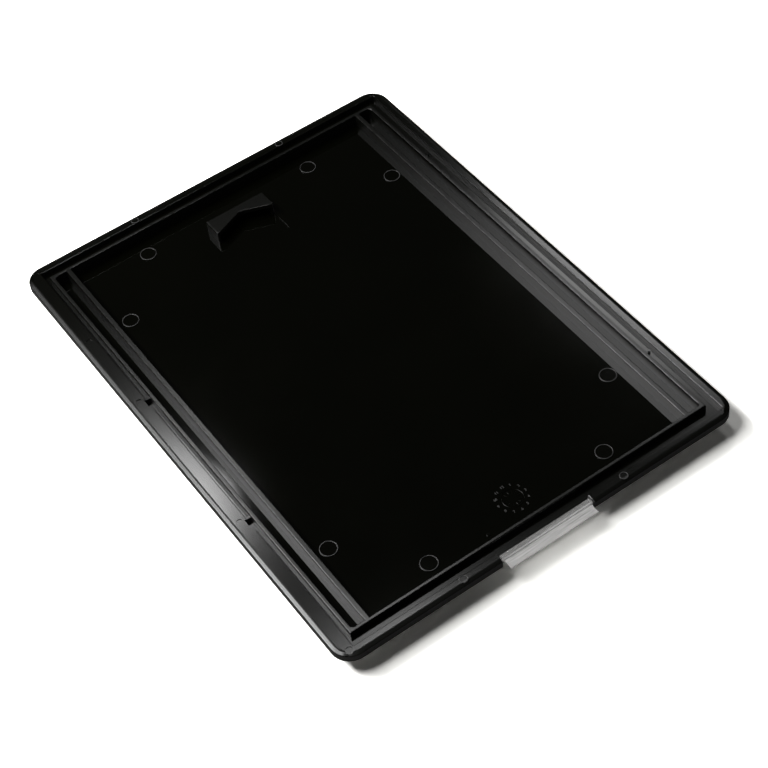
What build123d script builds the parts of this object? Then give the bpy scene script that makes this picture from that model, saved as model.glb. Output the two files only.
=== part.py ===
"""Comic book display frame, lying on its clear window with its back up.

Two mouldings snap together: a black back frame and a clear front cover, with room for the comic
book between them. +Z is up, +Y runs towards the end that hangs on the nail, and the origin is the
centre of the window's front face, which rests on the table. Lengths are in millimetres.
"""
import os

from build123d import *

os.makedirs("parts", exist_ok=True)

# The comic book, in its bag with its board, and the room round it
book_width = 174.6
book_length = 266.7
side_play = 0.6
end_play = 0.3
book_space = 5.2

# Walls of the black back frame
wall_thickness = 2.0
wall_corner_radius = 1.8
rail_width = 2.6
side_channel = 6.8
panel_thickness = 2.0
recess_depth = 6.8
edge_round = 0.5

# Border of the back frame, outside its walls; its ledge is wider on the left, where the latches are
border_width_sides = 10.7
border_width_ends = 10.4
border_corner_radius = 10.0
border_face_height = 4.4
border_drop = 0.8
rim_slope_width = 2.1
rim_slope_fall = 0.6
rim_crown_round = 3.0
border_edge_round = 0.5
ledge_width_left = 8.5
ledge_width = 5.1
lip_thickness = 1.25
lip_corner_radius = 0.6
lip_edge_round = 0.4
rim_thickness = 1.5
web_thickness = 1.5
ceiling_thickness = 1.2

# Clear front cover
window_thickness = 1.8
cover_wall = 1.8
cover_corner_radius = 2.0
flange_thickness = 1.8
flange_corner_radius = 6.0
skirt_thickness = 1.3
end_skirt_thickness = 1.1
skirt_stop_short = 9.0
cover_edge_round = 0.5
fit_gap = 0.35
seat_gap = 0.2

# Pull tab at the middle of the bottom end, and the notch that lets it out
tab_width = 49.6
tab_reach = 4.4
tab_thickness = 1.8
tab_step = 0.6
tab_step_inset = 0.8
tab_shoulder = 0.6
tab_drop = 0.8
tab_edge_round = 0.3
notch_play = 0.7
notch_end_round = 0.4

# Snap latches, two on the left side, each beside a rib across the groove
latch_places = (-59.8, 30.1)
latch_length = 7.0
latch_window_length = 8.0
latch_hook = 0.45
latch_height = 0.8
latch_lift = 0.1
cross_rib_thickness = 1.2

# Small stubs on the floor of the right groove
stub_places = (-92.0, 87.0)
stub_radius = 0.7
stub_height = 1.2
stub_from_lip = 2.6

# Hanger for a nail, near the top end
hanger_width = 34.2
hanger_offset = 0.4
hanger_from_end = 16.35
hanger_side_length = 11.1
hanger_notch_rise = 6.3
hanger_foot = 1.6
hanger_foot_round = 0.8
hanger_plate = 2.0
hanger_wall = 1.6
nail_recess_length = 25.6
nail_recess_depth = 0.6
nail_recess_corner = 1.0

# Marks that the mould leaves on the back
panel_mark_radius = 4.3
panel_mark_height = 0.2
panel_mark_insets = ((8.0, 44.85), (38.5, 10.45))
ledge_mark_radius = 1.6
ledge_mark_depth = 0.3
end_mark_radius = 2.1
end_mark_height = 0.2
ledge_mark_places = (-55.2, 35.1, 84.6)
ledge_mark_inset = 5.0
end_mark_offset = 44.7
end_mark_inset = 3.1
corner_mark_radius = 1.9
corner_mark_inset = 4.2
corner_mark_inset_left = 5.9
corner_mark_inset_right = 8.0
gate_mark_radius = 0.8
gate_mark_height = 0.4
gate_mark_x = -19.7
gate_mark_from_end = 6.55
dial_radius = 5.5
dial_groove = 0.6
dial_depth = 0.25
dial_x = 0.8
dial_from_end = 15.85
dial_ticks = 12
dial_tick_length = 1.3

# Sizes in plan
pocket_width = book_width + 2 * side_play
pocket_length = book_length + 2 * end_play
wall_inner_width = pocket_width + 2 * (rail_width + side_channel)
wall_outer_width = wall_inner_width + 2 * wall_thickness
wall_outer_length = pocket_length + 2 * wall_thickness
frame_width = wall_outer_width + 2 * border_width_sides
frame_length = wall_outer_length + 2 * border_width_ends
lip_centre = (ledge_width_left - ledge_width) / 2
lip_inner_width = frame_width - ledge_width_left - ledge_width
lip_inner_length = frame_length - 2 * ledge_width
lip_left = lip_centre - lip_inner_width / 2
lip_right = lip_centre + lip_inner_width / 2
lip_outer_width = lip_inner_width + 2 * lip_thickness
lip_outer_length = lip_inner_length + 2 * lip_thickness
rim_inner_width = frame_width - 2 * rim_thickness
rim_inner_length = frame_length - 2 * rim_thickness
rim_inner_radius = border_corner_radius - rim_thickness
rail_offset = (pocket_width + rail_width) / 2
hanger_top = pocket_length / 2 - hanger_from_end
hanger_bottom = hanger_top - hanger_side_length

# Heights above the table
window_top = window_thickness
panel_bottom = window_top + book_space
panel_top = panel_bottom + panel_thickness
back_plane = panel_top + recess_depth
rim_top = back_plane - border_drop
slope_bottom = rim_top - rim_slope_fall
rim_bottom = rim_top - border_face_height
web_top = rim_bottom + web_thickness
ceiling = rim_top - ceiling_thickness
wall_foot = window_top + fit_gap
flange_top = rim_bottom - seat_gap
flange_bottom = flange_top - flange_thickness
skirt_top = ceiling - fit_gap

# Sizes of the cover that follow the back frame
box_inner_width = wall_outer_width + 2 * fit_gap
box_inner_length = wall_outer_length + 2 * fit_gap
box_width = box_inner_width + 2 * cover_wall
box_length = box_inner_length + 2 * cover_wall
skirt_inner_left = lip_left - lip_thickness - fit_gap
skirt_inner_right = lip_right + lip_thickness + fit_gap
end_skirt_inner = lip_outer_length / 2 + fit_gap / 2
flange_left = skirt_inner_left - skirt_thickness
flange_right = skirt_inner_right + skirt_thickness
flange_bottom_end = -end_skirt_inner - end_skirt_thickness
flange_top_end = frame_length / 2 - rim_thickness
tab_top = rim_top - tab_drop
notch_width = tab_width + 2 * notch_play


def panel_marks():
    """Places of the round marks on the panel, two near each corner."""
    places = [(pocket_width / 2 - x, pocket_length / 2 - y) for x, y in panel_mark_insets]
    return [(sx * x, sy * y) for x, y in places for sx in (-1, 1) for sy in (-1, 1)]


def end_marks():
    """Places of the raised round marks on the ledges of the two ends."""
    end = frame_length / 2 - end_mark_inset
    return [(sx * end_mark_offset, sy * end) for sx in (-1, 1) for sy in (-1, 1)]


def corner_marks():
    """Places of the round marks near the corners of the lip."""
    left = -frame_width / 2 + corner_mark_inset_left
    right = frame_width / 2 - corner_mark_inset_right
    end = frame_length / 2 - corner_mark_inset
    return [(x, sy * end) for x in (left, right) for sy in (-1, 1)]


with BuildPart() as back_frame:
    # Border: a rounded block with a slope round its top, down to its outer edge
    with BuildSketch(Plane.XY.offset(rim_bottom)):
        RectangleRounded(frame_width, frame_length, border_corner_radius)
    extrude(amount=slope_bottom - rim_bottom)
    with BuildSketch(Plane.XY.offset(slope_bottom)):
        RectangleRounded(frame_width, frame_length, border_corner_radius)
    with BuildSketch(Plane.XY.offset(rim_top)):
        RectangleRounded(
            frame_width - 2 * rim_slope_width,
            frame_length - 2 * rim_slope_width,
            border_corner_radius - rim_slope_width,
        )
    loft(ruled=True)
    crown_edges = back_frame.edges().filter_by_position(Axis.Z, rim_top - 0.01, rim_top + 0.01)
    fillet(crown_edges, rim_crown_round)
    outer_edges = back_frame.edges().filter_by_position(Axis.Z, slope_bottom - 0.01, slope_bottom + 0.01)
    fillet(outer_edges, border_edge_round)

    # Groove round the walls, inside the lip
    with BuildSketch(Plane.XY.offset(web_top)):
        with Locations((lip_centre, 0)):
            RectangleRounded(lip_inner_width, lip_inner_length, lip_corner_radius)
    extrude(amount=rim_top - web_top, mode=Mode.SUBTRACT)
    lip_edges = (
        back_frame.edges()
        .filter_by_position(Axis.Z, rim_top - 0.01, rim_top + 0.01)
        .filter_by(lambda edge: lip_left - 0.01 < edge.center().X < lip_right + 0.01)
        .filter_by(lambda edge: abs(edge.center().Y) < lip_inner_length / 2 + 0.01)
    )
    fillet(lip_edges, lip_edge_round)

    # Channel under the ledges, between lip and rim, that the cover's skirt stands in
    with BuildSketch(Plane.XY.offset(rim_bottom)):
        RectangleRounded(rim_inner_width, rim_inner_length, rim_inner_radius)
        with Locations((lip_centre, 0)):
            Rectangle(lip_outer_width, lip_outer_length, mode=Mode.SUBTRACT)
    extrude(amount=ceiling - rim_bottom, mode=Mode.SUBTRACT)

    # Walls and rails, from just above the window to the back
    with BuildSketch(Plane.XY.offset(wall_foot)):
        Rectangle(wall_outer_width, wall_outer_length)
    extrude(amount=back_plane - wall_foot)
    with BuildSketch(Plane.XY.offset(wall_foot)) as hollow:
        RectangleRounded(wall_inner_width, pocket_length, wall_corner_radius)
        with Locations((-rail_offset, 0), (rail_offset, 0)):
            Rectangle(rail_width, pocket_length, mode=Mode.SUBTRACT)
    extrude(amount=panel_bottom - wall_foot, mode=Mode.SUBTRACT)
    extrude(hollow.sketch.moved(Location((0, 0, panel_top - wall_foot))), recess_depth, mode=Mode.SUBTRACT)

    # Notch for the pull tab: the rim and the ledge are open, and the lip is lower
    notch_depth = (frame_length - lip_outer_length) / 2
    with BuildSketch(Plane.XY.offset(rim_bottom)):
        with Locations((0, -(lip_outer_length + notch_depth) / 2)):
            Rectangle(notch_width, notch_depth)
    extrude(amount=rim_top - rim_bottom, mode=Mode.SUBTRACT)
    with BuildSketch(Plane.XY.offset(web_top)):
        with Locations((0, -(lip_inner_length + lip_thickness) / 2)):
            Rectangle(notch_width, lip_thickness)
    extrude(amount=rim_top - web_top, mode=Mode.SUBTRACT)
    notch_ends = (
        back_frame.edges()
        .filter_by(Axis.Z)
        .filter_by(lambda edge: abs(abs(edge.center().X) - notch_width / 2) < 0.01)
        .filter_by(lambda edge: edge.center().Y < -frame_length / 2 + 0.01)
    )
    fillet(notch_ends, notch_end_round)

    # Windows in the left lip that the cover's hooks catch in, each with a rib across the groove
    groove_width = -wall_outer_width / 2 - lip_left
    for place in latch_places:
        with BuildSketch(Plane.XY.offset(web_top)):
            with Locations((lip_left - lip_thickness / 2, place)):
                Rectangle(lip_thickness, latch_window_length)
        extrude(amount=rim_top - web_top, mode=Mode.SUBTRACT)
        rib_place = place + (latch_window_length + cross_rib_thickness) / 2
        with BuildSketch(Plane.XY.offset(web_top)):
            with Locations((lip_left + groove_width / 2, rib_place)):
                Rectangle(groove_width, cross_rib_thickness)
        extrude(amount=rim_top - lip_edge_round - web_top)

    # Stubs on the floor of the right groove
    with BuildSketch(Plane.XY.offset(web_top)):
        with Locations(*[(lip_right - stub_from_lip, place) for place in stub_places]):
            Circle(stub_radius)
    extrude(amount=stub_height)

    # Hanger: a raised box, open towards the bottom end, with a notch for the nail in its plate
    with BuildSketch(Plane.XY.offset(panel_top - nail_recess_depth)):
        with Locations((hanger_offset, hanger_top - nail_recess_length / 2)):
            RectangleRounded(hanger_width, nail_recess_length, nail_recess_corner)
    extrude(amount=nail_recess_depth, mode=Mode.SUBTRACT)
    with BuildSketch(Plane.XY.offset(panel_top - nail_recess_depth)):
        with Locations((hanger_offset, (hanger_top + hanger_bottom) / 2)):
            Rectangle(hanger_width, hanger_side_length)
    extrude(amount=recess_depth + nail_recess_depth)
    with BuildSketch(Plane.XY.offset(panel_top - nail_recess_depth)):
        with Locations((hanger_offset, (hanger_top - hanger_wall + hanger_bottom) / 2)):
            Rectangle(hanger_width - 2 * hanger_wall, hanger_side_length - hanger_wall)
    extrude(amount=recess_depth + nail_recess_depth - hanger_plate, mode=Mode.SUBTRACT)
    notch_half = hanger_width / 2 - hanger_foot
    with BuildSketch(Plane.XY.offset(back_plane - hanger_plate)):
        with BuildLine():
            Polyline(
                (hanger_offset - notch_half, hanger_bottom),
                (hanger_offset, hanger_bottom + hanger_notch_rise),
                (hanger_offset + notch_half, hanger_bottom),
                close=True,
            )
        make_face()
    extrude(amount=hanger_plate, mode=Mode.SUBTRACT)
    hanger_feet = (
        back_frame.edges()
        .filter_by(Axis.Z)
        .filter_by(lambda edge: abs(abs(edge.center().X - hanger_offset) - hanger_width / 2) < 0.01)
        .filter_by(lambda edge: abs(edge.center().Y - hanger_bottom) < 0.01)
        .filter_by(lambda edge: edge.center().Z > panel_top)
    )
    fillet(hanger_feet, hanger_foot_round)

    # Soft edges on the tops of the walls, the rails and the hanger
    back_edges = (
        back_frame.edges()
        .filter_by_position(Axis.Z, back_plane - 0.01, back_plane + 0.01)
        .filter_by(lambda edge: abs(edge.center().X) < wall_outer_width / 2 + 0.01)
        .filter_by(lambda edge: abs(edge.center().Y) < wall_outer_length / 2 + 0.01)
    )
    fillet(back_edges, edge_round)

    # Round marks, raised on the panel and the end ledges, sunk in the left ledge and near the corners
    with BuildSketch(Plane.XY.offset(panel_top)):
        with Locations(*panel_marks()):
            Circle(panel_mark_radius)
    extrude(amount=panel_mark_height)
    with BuildSketch(Plane.XY.offset(ceiling)):
        with Locations(*end_marks()):
            Circle(end_mark_radius)
    extrude(amount=rim_top + end_mark_height - ceiling)
    with BuildSketch(Plane.XY.offset(rim_top - ledge_mark_depth)):
        with Locations(*[(-frame_width / 2 + ledge_mark_inset, y) for y in ledge_mark_places]):
            Circle(ledge_mark_radius)
        with Locations(*corner_marks()):
            Circle(corner_mark_radius)
    extrude(amount=border_drop, mode=Mode.SUBTRACT)

    # Stub that the gate leaves on the panel
    with BuildSketch(Plane.XY.offset(panel_top)):
        with Locations((gate_mark_x, gate_mark_from_end - pocket_length / 2)):
            Circle(gate_mark_radius)
    extrude(amount=gate_mark_height)

    # Plain dial in the panel: a ring with ticks
    with BuildSketch(Plane.XY.offset(panel_top)):
        with Locations((dial_x, dial_from_end - pocket_length / 2)):
            Circle(dial_radius)
            Circle(dial_radius - dial_groove, mode=Mode.SUBTRACT)
            with PolarLocations(dial_radius - dial_groove - dial_tick_length, dial_ticks):
                Rectangle(dial_tick_length, dial_groove / 2)
    extrude(amount=-dial_depth, mode=Mode.SUBTRACT)

with BuildPart() as front_cover:
    # Window and the box round the walls
    with BuildSketch():
        RectangleRounded(box_width, box_length, cover_corner_radius)
    extrude(amount=flange_top)
    with BuildSketch(Plane.XY.offset(window_top)):
        Rectangle(box_inner_width, box_inner_length)
    extrude(amount=flange_top - window_top, mode=Mode.SUBTRACT)
    fillet(front_cover.faces().sort_by(Axis.Z)[0].edges(), cover_edge_round)

    # Flange under the border: it reaches the skirt on three sides and the rim at the top end
    with BuildSketch(Plane.XY.offset(flange_bottom)):
        with Locations(((flange_left + flange_right) / 2, (flange_bottom_end + flange_top_end) / 2)):
            RectangleRounded(
                flange_right - flange_left, flange_top_end - flange_bottom_end, flange_corner_radius
            )
        Rectangle(box_inner_width, box_inner_length, mode=Mode.SUBTRACT)
    extrude(amount=flange_thickness)

    # Skirt on the flange, inside the rim: one wall along each long side and one at the bottom end
    long_skirt_length = frame_length - 2 * skirt_stop_short
    end_skirt_length = frame_width - 2 * skirt_stop_short
    with BuildSketch(Plane.XY.offset(flange_top)):
        with Locations(
            (skirt_inner_left - skirt_thickness / 2, 0),
            (skirt_inner_right + skirt_thickness / 2, 0),
        ):
            Rectangle(skirt_thickness, long_skirt_length)
        with Locations((0, -end_skirt_inner - end_skirt_thickness / 2)):
            Rectangle(end_skirt_length, end_skirt_thickness)
    extrude(amount=skirt_top - flange_top)

    # Hooks on the left skirt, each over the sill of a window in the lip
    hook_bottom = web_top + latch_lift
    hook_tip = lip_left - lip_thickness + latch_hook
    for place in latch_places:
        with BuildSketch(Plane.XZ.offset(-place)):
            with BuildLine():
                Polyline(
                    (hook_tip, hook_bottom),
                    (skirt_inner_left, hook_bottom),
                    (skirt_inner_left, hook_bottom + latch_height),
                    (hook_tip, hook_bottom + latch_height / 4),
                    close=True,
                )
            make_face()
        extrude(amount=latch_length / 2, both=True)

    # Pull tab: a thick root over the end skirt, and a thinner lip out past the rim
    tab_step_place = frame_length / 2 - tab_step_inset
    tab_root = tab_step_place - end_skirt_inner
    tab_lip = tab_reach + tab_step_inset
    tab_bottom = tab_top - tab_thickness
    with BuildSketch(Plane.XY.offset(tab_bottom)):
        with Locations((0, -tab_step_place + tab_root / 2)):
            Rectangle(tab_width, tab_root)
    extrude(amount=tab_thickness)
    with BuildSketch(Plane.XY.offset(tab_bottom)):
        with Locations((0, -tab_step_place - tab_lip / 2)):
            Rectangle(tab_width - 2 * tab_shoulder, tab_lip)
    extrude(amount=tab_thickness - tab_step)
    tab_edges = (
        front_cover.edges()
        .filter_by(Axis.Z, reverse=True)
        .filter_by(lambda edge: edge.center().Y < -frame_length / 2 - tab_reach + 0.01)
    )
    fillet(tab_edges, tab_edge_round)


back_frame.part.label = "back_frame"
export_step(back_frame.part, "parts/back_frame.step")

front_cover.part.label = "front_cover"
export_step(front_cover.part, "parts/front_cover.step")
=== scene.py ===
"""Comic book display frame, lying on its clear window: finishes, moulded details, table, light and camera.

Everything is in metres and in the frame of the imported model. +Z is up, +Y runs towards the end with
the hanger, and the origin is the centre of the window's face, on the table.
"""
import math

import bpy
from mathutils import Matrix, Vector


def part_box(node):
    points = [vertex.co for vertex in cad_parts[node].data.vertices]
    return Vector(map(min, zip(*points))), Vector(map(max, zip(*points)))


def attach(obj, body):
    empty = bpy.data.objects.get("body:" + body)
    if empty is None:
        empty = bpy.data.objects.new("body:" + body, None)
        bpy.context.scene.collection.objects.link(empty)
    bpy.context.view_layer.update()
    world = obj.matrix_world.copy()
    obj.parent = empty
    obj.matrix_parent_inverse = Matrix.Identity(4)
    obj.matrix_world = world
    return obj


bl_info = {
    "name": "Comic Book Display Frame",
    "version": (1, 0, 0),
    "blender": (4, 5, 0),
    "location": "3D View > Sidebar > Display Frame",
    "description": "Finishes a display frame for a comic book and sets it on a table",
    "category": "Object",
}

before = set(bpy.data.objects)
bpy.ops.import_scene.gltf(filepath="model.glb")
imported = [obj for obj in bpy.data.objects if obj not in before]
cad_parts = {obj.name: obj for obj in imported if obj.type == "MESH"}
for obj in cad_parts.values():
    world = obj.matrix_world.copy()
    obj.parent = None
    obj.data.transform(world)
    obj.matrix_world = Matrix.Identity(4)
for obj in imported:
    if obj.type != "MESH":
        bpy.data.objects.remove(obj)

MM = 0.001
BACK_NODE = "back_frame"
COVER_NODE = "front_cover"
BACK_LOW, BACK_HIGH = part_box(BACK_NODE)
BACK_PLANE = BACK_HIGH.z

# Heights of the faces of the back frame, measured from the plane of its back
PANEL_TOP = BACK_PLANE - 6.8 * MM
LEDGE_TOP = BACK_PLANE - 0.8 * MM

# Width of the slope that runs round the rim, with its soft crown
SLOPE_WIDTH = 2.5 * MM

# Where one finish gives way to the next, each as the value where it starts and the value where it is done:
# height above the panel and above the ledges, distance past the crown of the slope, upward part of the
# normal of an upright face, place along Y of the tab, and distance from the frame of the white table
ABOVE_PANEL = (PANEL_TOP + 0.1 * MM, PANEL_TOP + 1.0 * MM)
ABOVE_LEDGE = (LEDGE_TOP + 0.35 * MM, LEDGE_TOP + 0.6 * MM)
PAST_CROWN = (0.0, 0.2 * MM)
UPRIGHT = (0.5, 0.1)
TAB_BODY = (BACK_LOW.y + 1.6 * MM, BACK_LOW.y + 0.3 * MM)
FAR_TABLE = (0.6, 1.5)

# Patterns in the plastics, each as scale and detail, the part of their noise that shows, and the scale of
# the flow lines along X, which draws them out
BLACK_CLOUD = (22.0, 4.0)
BLACK_GRAIN = (1500.0, 3.0)
EDGE_PATCHES = (260.0, 2.0)
EDGE_PATCHES_SHOWN = (0.35, 0.7)
FLOW_LINES = (1100.0, 3.0)
FLOW_LINES_SHOWN = (0.35, 0.65)
FLOW_SCALE_ALONG = 0.06

# What the patterns change: roughness, relief and tone of the black, painted highlight tone of its fine
# raised details, roughness and tone of the clear
CLOUD_ROUGHNESS = 0.04
GRAIN_STRENGTH = 0.02
GRAIN_RELIEF = 0.05 * MM
BLACK_TONES = (0.8, 1.3)
PAINTED_HIGHLIGHT_TONES = (0.01, 0.06)
RAISED_DETAIL_ROUGHNESS = 0.3
CLEAR_ROUGHNESS = (0.03, 0.15)
CLEAR_DARKEST = 0.6

BLACK_IOR = 1.55
CLEAR_IOR = 1.59
CLEAR_TRANSMISSION = 0.5

# The round marks of the moulding, and the plain dial in the panel
MARK_RELIEF = 0.2 * MM
PANEL_MARK_RADIUS = 4.3 * MM
PANEL_MARKS = [
    (side * x * MM, end * y * MM)
    for x, y in ((79.9, 88.8), (49.4, 123.2)) for side in (-1, 1) for end in (-1, 1)
]
END_MARK_RADIUS = 2.1 * MM
END_MARKS = [(side * 44.7 * MM, end * 142.95 * MM) for side in (-1, 1) for end in (-1, 1)]
DIAL_CENTRE = Vector((0.8 * MM, -117.8 * MM, PANEL_TOP))
DIAL_NUMBER_RADIUS = 7.6 * MM

# How fine the rings of flash and the outlines of the numbers are, and how sharp a bend still looks round
RING_SIDES = 48
NUMBER_RESOLUTION = 4
SMOOTH_ANGLE = math.radians(50)
HOURS = 12

# How light the table is in the black polish, darkened there as painted shade for the frame's shadow on the
# table near it, and to the camera, as factors of its colour
SHADED_REFLECTED_TABLE = 0.15
SEEN_TABLE = 2.2
TABLE_ROUGHNESS = 0.7

# The dim white light from all round, and the width of the camera's sensor in millimetres
WHITE = (1.0, 1.0, 1.0, 1.0)
STUDIO_STRENGTH = 0.015
SENSOR_WIDTH = 36.0

# Lamps: name, place, what it points at, width and length, power in watts
LAMPS = (
    ("key", (-0.72, 0.70, 1.20), (-0.72, 0.70, 0.0), (0.42, 0.74), 25.0),
    ("side", (0.89, 0.84, 1.20), (0.89, 0.84, 0.0), (0.26, 0.52), 1.8),
    ("accent", (0.17, 0.86, 1.20), (0.17, 0.86, 0.0), (0.14, 0.16), 1.0),
    ("edge", (0.25, 0.45, 1.20), (0.25, 0.45, 0.0), (0.19, 0.12), 1.1),
    ("overhead", (-0.62, 0.12, 1.25), (0.0, 0.0, 0.0), (0.46, 0.50), 8.3),
)


class FrameSizes(bpy.types.PropertyGroup):
    """Sizes of the moulded details that are added to the back frame"""

    flash_width: bpy.props.FloatProperty(
        name="Flash width", description="Width of the thin ring of flash round a round mark",
        default=0.4 * MM, min=0.0, unit="LENGTH",
    )
    flash_height: bpy.props.FloatProperty(
        name="Flash height", description="Height of that ring above the mark",
        default=0.2 * MM, min=0.0, unit="LENGTH",
    )
    number_size: bpy.props.FloatProperty(
        name="Number size", description="Height of the numbers round the plain dial",
        default=2.0 * MM, min=0.0, unit="LENGTH",
    )
    number_relief: bpy.props.FloatProperty(
        name="Number relief", description="How far the numbers stand above the panel",
        default=0.2 * MM, min=0.0, unit="LENGTH",
    )


class FrameFinish(bpy.types.PropertyGroup):
    """Colours and finishes of the two mouldings"""

    black: bpy.props.FloatVectorProperty(
        name="Black", description="Colour of the black moulding", subtype="COLOR", size=4,
        default=(0.0011, 0.0012, 0.0006, 1.0), min=0.0, max=1.0,
    )
    panel_roughness: bpy.props.FloatProperty(
        name="Panel roughness", description="Roughness of the polished panel",
        default=0.03, min=0.0, max=1.0, subtype="FACTOR",
    )
    rim_roughness: bpy.props.FloatProperty(
        name="Rim roughness", description="Roughness of the slope round the rim",
        default=0.25, min=0.0, max=1.0, subtype="FACTOR",
    )
    ledge_roughness: bpy.props.FloatProperty(
        name="Ledge roughness", description="Roughness of the ledges",
        default=0.12, min=0.0, max=1.0, subtype="FACTOR",
    )
    top_roughness: bpy.props.FloatProperty(
        name="Top roughness", description="Roughness of the tops of the walls, the rails and the hanger",
        default=0.2, min=0.0, max=1.0, subtype="FACTOR",
    )
    side_roughness: bpy.props.FloatProperty(
        name="Side roughness", description="Roughness of the upright faces",
        default=0.32, min=0.0, max=1.0, subtype="FACTOR",
    )
    clear: bpy.props.FloatVectorProperty(
        name="Clear", description="Tint of the clear moulding", subtype="COLOR", size=4,
        default=(0.98, 0.975, 0.965, 1.0), min=0.0, max=1.0,
    )
    window_alpha: bpy.props.FloatProperty(
        name="Window opacity", description="Opacity of the window, its box and the flange",
        default=0.35, min=0.0, max=1.0, subtype="FACTOR",
    )
    # The tab's opacity lets its lit white stand in as painted light for the light that the clear tab
    # refracts.
    tab_alpha: bpy.props.FloatProperty(
        name="Tab opacity", description="Opacity of the outer strip of the pull tab",
        default=0.7, min=0.0, max=1.0, subtype="FACTOR",
    )


class StageSettings(bpy.types.PropertyGroup):
    """Table, light and camera"""

    table_colour: bpy.props.FloatVectorProperty(
        name="Table colour", description="Colour of the table", subtype="COLOR", size=4,
        default=(0.94, 0.935, 0.905, 1.0), min=0.0, max=1.0,
    )
    table_size: bpy.props.FloatProperty(
        name="Table size", description="Side of the square table top", default=12.0, unit="LENGTH",
    )
    camera_place: bpy.props.FloatVectorProperty(
        name="Camera place", description="Where the camera stands", subtype="TRANSLATION", size=3,
        default=(-0.29233, -0.54505, 0.70255),
    )
    camera_turn: bpy.props.FloatVectorProperty(
        name="Camera turn", description="Rotation of the camera, as an XYZ euler", subtype="EULER", size=3,
        default=(math.radians(40.271), math.radians(5.189), math.radians(-35.013)),
    )
    camera_lens: bpy.props.FloatProperty(
        name="Lens", description="Focal length in millimetres on a 36 mm sensor", default=89.78, min=1.0,
    )


def settings():
    """The three groups of values that the panel shows."""
    scene = bpy.context.scene
    return scene.display_frame_sizes, scene.display_frame_finish, scene.display_frame_stage


def deselect():
    """Nothing stays selected, so that an operator acts on the new piece alone."""
    bpy.ops.object.select_all(action="DESELECT")


def add_node(tree, kind, place, **values):
    """Adds a shader node at a place of the editor and sets its properties."""
    node = tree.nodes.new(kind)
    node.location = place
    for name, value in values.items():
        setattr(node, name, value)
    return node


def new_material(name):
    """An empty node material with its output and a Principled shader."""
    material = bpy.data.materials.new(name)
    material.use_nodes = True
    tree = material.node_tree
    tree.nodes.clear()
    output = add_node(tree, "ShaderNodeOutputMaterial", (600, 0))
    shader = add_node(tree, "ShaderNodeBsdfPrincipled", (300, 0))
    tree.links.new(shader.outputs["BSDF"], output.inputs["Surface"])
    return material, tree, shader


def scaled(colour, factor):
    """A colour that is lighter or darker by a factor, fully opaque."""
    return [factor * value for value in colour[:3]] + [1.0]


def map_range(tree, value, source, target, place):
    """Maps one pair of values to another, clamped at both ends."""
    ramp = add_node(tree, "ShaderNodeMapRange", place)
    ramp.inputs["From Min"].default_value, ramp.inputs["From Max"].default_value = source
    ramp.inputs["To Min"].default_value, ramp.inputs["To Max"].default_value = target
    tree.links.new(value, ramp.inputs["Value"])
    return ramp.outputs["Result"]


def step_mask(tree, value, source, place):
    """0 up to the first value of the pair and 1 from the second one on, with a ramp between them."""
    return map_range(tree, value, source, (0.0, 1.0), place)


def noise(tree, vector, pattern, place):
    """Noise with the scale and detail of a pattern."""
    texture = add_node(tree, "ShaderNodeTexNoise", place)
    texture.inputs["Scale"].default_value, texture.inputs["Detail"].default_value = pattern
    tree.links.new(vector, texture.inputs["Vector"])
    return texture.outputs["Fac"]


def parts_of(tree, vector, place):
    """The X, Y and Z of a vector, as the outputs of one node."""
    split = add_node(tree, "ShaderNodeSeparateXYZ", place)
    tree.links.new(vector, split.inputs["Vector"])
    return split.outputs


def rim_zone(tree, where):
    """1 on the slope along the outline of the back frame and 0 inside it."""
    past_crown = []
    for row, (axis, reach) in enumerate((("X", BACK_HIGH.x), ("Y", BACK_HIGH.y))):
        size = add_node(tree, "ShaderNodeMath", (-1500, -400 - 200 * row), operation="ABSOLUTE")
        tree.links.new(where[axis], size.inputs[0])
        past = add_node(tree, "ShaderNodeMath", (-1300, -400 - 200 * row), operation="SUBTRACT")
        tree.links.new(size.outputs["Value"], past.inputs[0])
        past.inputs[1].default_value = reach - SLOPE_WIDTH
        past_crown.append(past.outputs["Value"])
    furthest = add_node(tree, "ShaderNodeMath", (-1100, -500), operation="MAXIMUM")
    for socket, value in zip(furthest.inputs, past_crown):
        tree.links.new(value, socket)
    return step_mask(tree, furthest.outputs["Value"], PAST_CROWN, (-900, -500))


def upright_faces(tree, normal):
    """1 on upright faces and 0 on level and sloping ones."""
    level = add_node(tree, "ShaderNodeMath", (-1100, 700), operation="ABSOLUTE")
    tree.links.new(parts_of(tree, normal, (-1300, 700))["Z"], level.inputs[0])
    return step_mask(tree, level.outputs["Value"], UPRIGHT, (-900, 700))


def layered_roughness(tree, base, layers):
    """Roughness that starts at a base and takes each layer's value where the layer's mask is 1."""
    roughness = base
    for column, (mask, value) in enumerate(layers):
        step = add_node(tree, "ShaderNodeMix", (-800 + 160 * column, 300), data_type="FLOAT")
        tree.links.new(mask, step.inputs["Factor"])
        step.inputs["B"].default_value = value
        if column:
            tree.links.new(roughness, step.inputs["A"])
        else:
            step.inputs["A"].default_value = base
        roughness = step.outputs["Result"]
    return roughness


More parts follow.
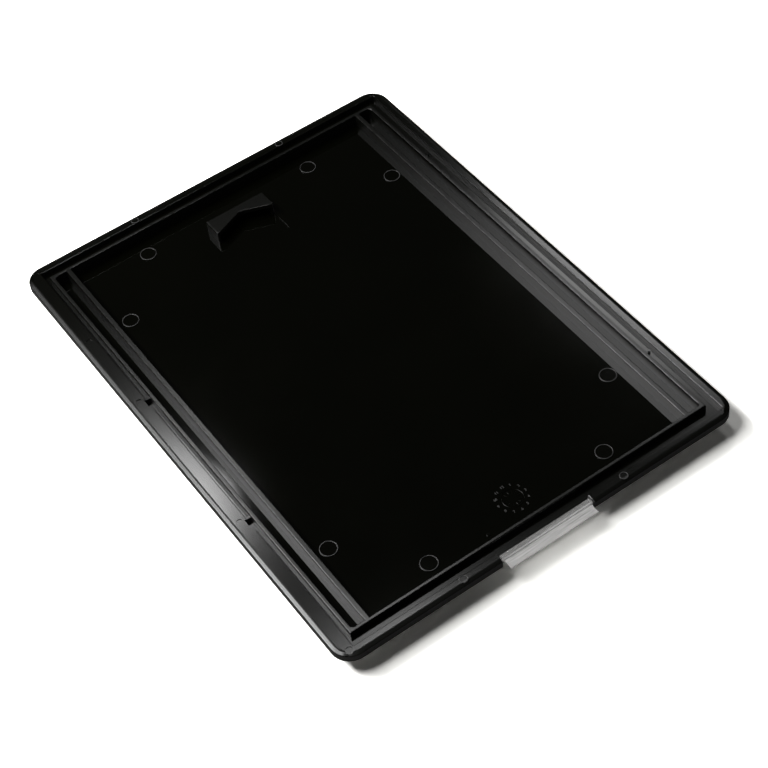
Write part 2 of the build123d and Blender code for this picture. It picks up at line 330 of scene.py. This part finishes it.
def black_styrene(finish):
    """Moulded black styrene: polished panel, satin ledges, duller slope, wall tops and upright faces."""
    material, tree, shader = new_material("black_styrene")
    place = add_node(tree, "ShaderNodeTexCoord", (-1500, 0))
    where = parts_of(tree, place.outputs["Object"], (-1300, 200))
    above_panel = step_mask(tree, where["Z"], ABOVE_PANEL, (-1100, 300))
    above_ledge = step_mask(tree, where["Z"], ABOVE_LEDGE, (-1100, 500))
    cloud = noise(tree, place.outputs["Object"], BLACK_CLOUD, (-1100, 0))
    grain = noise(tree, place.outputs["Object"], BLACK_GRAIN, (-1100, -250))

    roughness = layered_roughness(tree, finish.panel_roughness, (
        (above_panel, finish.ledge_roughness),
        (rim_zone(tree, where), finish.rim_roughness),
        (above_ledge, finish.top_roughness),
        (upright_faces(tree, place.outputs["Normal"]), finish.side_roughness),
    ))
    uneven = add_node(tree, "ShaderNodeMath", (-200, 200), operation="MULTIPLY_ADD")
    uneven.inputs[1].default_value = CLOUD_ROUGHNESS
    tree.links.new(cloud, uneven.inputs[0])
    tree.links.new(roughness, uneven.inputs[2])
    tree.links.new(uneven.outputs["Value"], shader.inputs["Roughness"])

    colour = add_node(tree, "ShaderNodeMix", (-400, 300), data_type="RGBA")
    for socket, tone in zip(("A", "B"), BLACK_TONES):
        colour.inputs[socket].default_value = scaled(finish.black, tone)
    tree.links.new(cloud, colour.inputs["Factor"])
    tree.links.new(colour.outputs["Result"], shader.inputs["Base Color"])

    relief = add_node(tree, "ShaderNodeMath", (-400, -250), operation="MULTIPLY")
    tree.links.new(grain, relief.inputs[0])
    tree.links.new(above_panel, relief.inputs[1])
    bump = add_node(tree, "ShaderNodeBump", (0, -250))
    bump.inputs["Strength"].default_value = GRAIN_STRENGTH
    bump.inputs["Distance"].default_value = GRAIN_RELIEF
    tree.links.new(relief.outputs["Value"], bump.inputs["Height"])
    tree.links.new(bump.outputs["Normal"], shader.inputs["Normal"])
    shader.inputs["IOR"].default_value = BLACK_IOR
    return material


def whitened_edge():
    """Fine raised details of black styrene, a lighter grey in patches: a painted highlight for the light
    their edges catch.
    """
    material, tree, shader = new_material("whitened_edge")
    place = add_node(tree, "ShaderNodeTexCoord", (-700, 0))
    patches = noise(tree, place.outputs["Object"], EDGE_PATCHES, (-500, 0))
    # Painted highlight: the lighter grey in patches stands in for the light that the edges of the raised
    # rings and numbers catch.
    tone = map_range(tree, patches, EDGE_PATCHES_SHOWN, PAINTED_HIGHLIGHT_TONES, (-250, 0))
    tree.links.new(tone, shader.inputs["Base Color"])
    shader.inputs["Roughness"].default_value = RAISED_DETAIL_ROUGHNESS
    return material


def clear_styrene(finish):
    """Clear moulded styrene with faint flow lines along X, more opaque in the pull tab, where its lit
    white stands in as painted light for the light that the clear tab refracts.
    """
    material, tree, shader = new_material("clear_styrene")
    place = add_node(tree, "ShaderNodeTexCoord", (-900, 0))
    along = add_node(tree, "ShaderNodeMapping", (-700, 0))
    along.inputs["Scale"].default_value = (FLOW_SCALE_ALONG, 1.0, 1.0)
    tree.links.new(place.outputs["Object"], along.inputs["Vector"])
    lines = noise(tree, along.outputs["Vector"], FLOW_LINES, (-500, 0))
    haze = map_range(tree, lines, (0.0, 1.0), CLEAR_ROUGHNESS, (-250, 0))
    tree.links.new(haze, shader.inputs["Roughness"])

    flow = add_node(tree, "ShaderNodeMix", (0, 300), data_type="RGBA")
    flow.inputs["A"].default_value = scaled(finish.clear, CLEAR_DARKEST)
    flow.inputs["B"].default_value = finish.clear
    tree.links.new(step_mask(tree, lines, FLOW_LINES_SHOWN, (-250, 500)), flow.inputs["Factor"])
    tree.links.new(flow.outputs["Result"], shader.inputs["Base Color"])

    along_y = parts_of(tree, place.outputs["Object"], (-700, -400))["Y"]
    # Painted light: the outer strip of the pull tab is more opaque, so its lit white stands in for the
    # light that the clear tab refracts.
    body = map_range(tree, along_y, TAB_BODY, (finish.window_alpha, finish.tab_alpha), (-400, -400))
    tree.links.new(body, shader.inputs["Alpha"])
    shader.inputs["Transmission Weight"].default_value = CLEAR_TRANSMISSION
    shader.inputs["IOR"].default_value = CLEAR_IOR
    return material


def give_material(piece, material):
    """The piece has this one material and no other."""
    piece.data.materials.clear()
    piece.data.materials.append(material)


def settle(piece, name):
    """Names a finished piece, puts its place into its mesh and lets it go with the back frame."""
    deselect()
    piece.select_set(True)
    bpy.context.view_layer.objects.active = piece
    bpy.ops.object.transform_apply(location=True, rotation=True, scale=True)
    piece.name = name
    piece.data.name = name
    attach(piece, "back")


def join(pieces):
    """Joins the pieces into the first one."""
    deselect()
    for piece in pieces:
        piece.select_set(True)
    bpy.context.view_layer.objects.active = pieces[0]
    bpy.ops.object.join()
    return pieces[0]


def flash_ring(radius, sizes):
    """A thin ring of flash with soft edges, its foot at the origin."""
    deselect()
    bpy.ops.mesh.primitive_circle_add(vertices=RING_SIDES, radius=radius, fill_type="NGON")
    ring = bpy.context.object
    bpy.ops.object.mode_set(mode="EDIT")
    bpy.ops.mesh.inset(thickness=sizes.flash_width)
    bpy.ops.mesh.delete(type="FACE")
    bpy.ops.object.mode_set(mode="OBJECT")
    wall = ring.modifiers.new("height", "SOLIDIFY")
    wall.thickness = sizes.flash_height
    wall.offset = 1.0
    edge = ring.modifiers.new("soft edge", "BEVEL")
    edge.width = sizes.flash_height / 3
    edge.segments = 2
    for modifier in (wall.name, edge.name):
        bpy.ops.object.modifier_apply(modifier=modifier)
    bpy.ops.object.shade_smooth_by_angle(angle=SMOOTH_ANGLE)
    return ring


def placed_copies(original, places, height):
    """Copies of a piece at the places, each with its own mesh; the original goes to the first one."""
    copies = [original]
    for _ in places[1:]:
        copy = original.copy()
        copy.data = original.data.copy()
        bpy.context.scene.collection.objects.link(copy)
        copies.append(copy)
    for piece, (x, y) in zip(copies, places):
        piece.location = (x, y, height)
    return copies


class FRAME_OT_flash_rings(bpy.types.Operator):
    """Adds the thin ring of flash round each round mark of the panel and of the end ledges"""

    bl_idname = "display_frame.flash_rings"
    bl_label = "Flash Rings"

    def execute(self, context):
        sizes = settings()[0]
        for name, radius, places, height in (
            ("panel_mark_rings", PANEL_MARK_RADIUS, PANEL_MARKS, PANEL_TOP + MARK_RELIEF),
            ("end_mark_rings", END_MARK_RADIUS, END_MARKS, LEDGE_TOP + MARK_RELIEF),
        ):
            rings = join(placed_copies(flash_ring(radius, sizes), places, height))
            # The rings take the finish with the painted highlight.
            give_material(rings, bpy.data.materials["whitened_edge"])
            settle(rings, name)
        return {"FINISHED"}


class FRAME_OT_dial_numbers(bpy.types.Operator):
    """Adds the raised numbers 1 to 12 round the plain dial"""

    bl_idname = "display_frame.dial_numbers"
    bl_label = "Dial Numbers"

    def execute(self, context):
        sizes = settings()[0]
        numbers = []
        for hour in range(1, HOURS + 1):
            turn = math.radians(360 / HOURS * hour)
            deselect()
            outward = Vector((math.sin(turn), math.cos(turn), 0.0))
            bpy.ops.object.text_add(location=DIAL_CENTRE + DIAL_NUMBER_RADIUS * outward)
            number = bpy.context.object
            number.data.body = str(hour)
            number.data.size = sizes.number_size
            number.data.align_x = "CENTER"
            number.data.align_y = "CENTER"
            number.data.extrude = sizes.number_relief
            number.data.resolution_u = NUMBER_RESOLUTION
            bpy.ops.object.convert(target="MESH")
            numbers.append(bpy.context.object)
        dial = join(numbers)
        # The numbers take the finish with the painted highlight.
        give_material(dial, bpy.data.materials["whitened_edge"])
        settle(dial, "dial_numbers")
        return {"FINISHED"}


class FRAME_OT_finish_back(bpy.types.Operator):
    """Gives the black back frame its styrene finish and makes the painted highlight finish for its fine
    raised details
    """

    bl_idname = "display_frame.finish_back"
    bl_label = "Back Frame Finish"

    def execute(self, context):
        finish = settings()[1]
        give_material(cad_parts[BACK_NODE], black_styrene(finish))
        whitened_edge()
        return {"FINISHED"}


class FRAME_OT_finish_cover(bpy.types.Operator):
    """Gives the clear front cover its finish"""

    bl_idname = "display_frame.finish_cover"
    bl_label = "Front Cover Finish"

    def execute(self, context):
        finish = settings()[1]
        give_material(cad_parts[COVER_NODE], clear_styrene(finish))
        return {"FINISHED"}


def far_white(tree):
    """White glow of the table far from the frame, where the lamps don't reach; none near the frame."""
    place = add_node(tree, "ShaderNodeTexCoord", (-700, -900))
    distance = add_node(tree, "ShaderNodeVectorMath", (-500, -900), operation="LENGTH")
    tree.links.new(place.outputs["Object"], distance.inputs[0])
    glow = add_node(tree, "ShaderNodeEmission", (0, -900))
    beyond = step_mask(tree, distance.outputs["Value"], FAR_TABLE, (-250, -900))
    tree.links.new(beyond, glow.inputs["Strength"])
    return glow.outputs["Emission"]


def table_material(colour):
    """Pale table with the object's soft shadow, lighter to the camera, and dimmer in the black polish as
    painted shade for the frame's shadow on the table near it.
    """
    material, tree, shader = new_material("table")
    shader.inputs["Base Color"].default_value = colour
    shader.inputs["Roughness"].default_value = TABLE_ROUGHNESS
    shader.inputs["Specular IOR Level"].default_value = 0.0
    path = add_node(tree, "ShaderNodeLightPath", (0, 500))
    seen = add_node(tree, "ShaderNodeMath", (300, 400), operation="MAXIMUM")
    tree.links.new(path.outputs["Is Camera Ray"], seen.inputs[0])
    tree.links.new(path.outputs["Is Transmission Ray"], seen.inputs[1])
    looks = []
    # Painted shade: in the black polish the table is darkened, standing in for the frame's shadow on the
    # table near it.
    for row, factor in enumerate((SHADED_REFLECTED_TABLE, SEEN_TABLE)):
        look = add_node(tree, "ShaderNodeBsdfDiffuse", (300, -500 - 200 * row))
        look.inputs["Color"].default_value = scaled(colour, factor)
        looks.append(look.outputs["BSDF"])
    whole = add_node(tree, "ShaderNodeAddShader", (500, -800))
    tree.links.new(looks[1], whole.inputs[0])
    tree.links.new(far_white(tree), whole.inputs[1])
    surface = shader.outputs["BSDF"]
    for row, (ray, look) in enumerate((
        (path.outputs["Is Glossy Ray"], looks[0]),
        (seen.outputs["Value"], whole.outputs["Shader"]),
    )):
        mix = add_node(tree, "ShaderNodeMixShader", (600 + 200 * row, 200))
        tree.links.new(ray, mix.inputs["Fac"])
        tree.links.new(surface, mix.inputs[1])
        tree.links.new(look, mix.inputs[2])
        surface = mix.outputs["Shader"]
    tree.links.new(surface, tree.nodes["Material Output"].inputs["Surface"])
    return material


def area_light(name, place, target, size, power):
    """A soft oval lamp at a place, aimed at a target."""
    lamp = bpy.data.lights.new(name, "AREA")
    lamp.shape = "ELLIPSE"
    lamp.size = size[0]
    lamp.size_y = size[1]
    lamp.energy = power
    holder = bpy.data.objects.new(name, lamp)
    bpy.context.scene.collection.objects.link(holder)
    holder.location = place
    holder.rotation_euler = (Vector(target) - Vector(place)).to_track_quat("-Z", "Y").to_euler()
    return holder


class FRAME_OT_stage(bpy.types.Operator):
    """Makes the table, the soft light and the camera"""

    bl_idname = "display_frame.stage"
    bl_label = "Table, Light and Camera"

    def execute(self, context):
        stage = settings()[2]
        deselect()
        bpy.ops.mesh.primitive_plane_add(size=stage.table_size)
        table = context.object
        table.name = "table"
        give_material(table, table_material(stage.table_colour))

        for name, place, target, size, power in LAMPS:
            area_light(name, place, target, size, power)

        world = bpy.data.worlds.new("studio")
        context.scene.world = world
        world.use_nodes = True
        tree = world.node_tree
        dim = tree.nodes["Background"]
        dim.inputs["Color"].default_value = WHITE
        dim.inputs["Strength"].default_value = STUDIO_STRENGTH
        white = add_node(tree, "ShaderNodeBackground", (-200, -200))
        white.inputs["Color"].default_value = WHITE
        path = add_node(tree, "ShaderNodeLightPath", (-200, 300))
        seen = add_node(tree, "ShaderNodeMixShader", (100, 0))
        tree.links.new(path.outputs["Is Camera Ray"], seen.inputs["Fac"])
        tree.links.new(dim.outputs["Background"], seen.inputs[1])
        tree.links.new(white.outputs["Background"], seen.inputs[2])
        tree.links.new(seen.outputs["Shader"], tree.nodes["World Output"].inputs["Surface"])

        camera = bpy.data.objects.new("camera", bpy.data.cameras.new("camera"))
        context.scene.collection.objects.link(camera)
        camera.location = stage.camera_place
        camera.rotation_euler = stage.camera_turn
        camera.data.lens = stage.camera_lens
        camera.data.sensor_width = SENSOR_WIDTH
        context.scene.camera = camera
        context.scene.view_settings.view_transform = "Standard"
        return {"FINISHED"}


class FRAME_PT_panel(bpy.types.Panel):
    """Lists the steps that finish the frame and set the scene"""

    bl_idname = "FRAME_PT_panel"
    bl_label = "Display Frame"
    bl_space_type = "VIEW_3D"
    bl_region_type = "UI"
    bl_category = "Display Frame"

    def draw(self, context):
        for step in STEPS:
            self.layout.operator(step.bl_idname)
        for group in settings():
            box = self.layout.box()
            for name in group.__annotations__:
                box.prop(group, name)


STEPS = (
    FRAME_OT_finish_back,
    FRAME_OT_finish_cover,
    FRAME_OT_flash_rings,
    FRAME_OT_dial_numbers,
    FRAME_OT_stage,
)
GROUPS = {
    "display_frame_sizes": FrameSizes,
    "display_frame_finish": FrameFinish,
    "display_frame_stage": StageSettings,
}
CLASSES = (*GROUPS.values(), *STEPS, FRAME_PT_panel)


def register():
    for made in CLASSES:
        bpy.utils.register_class(made)
    for name, group in GROUPS.items():
        setattr(bpy.types.Scene, name, bpy.props.PointerProperty(type=group))


def unregister():
    for name in GROUPS:
        delattr(bpy.types.Scene, name)
    for made in reversed(CLASSES):
        bpy.utils.unregister_class(made)


def main():
    """Registers the add-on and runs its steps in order."""
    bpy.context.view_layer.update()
    register()
    bpy.ops.display_frame.finish_back()
    bpy.ops.display_frame.finish_cover()
    bpy.ops.display_frame.flash_rings()
    bpy.ops.display_frame.dial_numbers()
    bpy.ops.display_frame.stage()


if __name__ == "__main__":
    main()
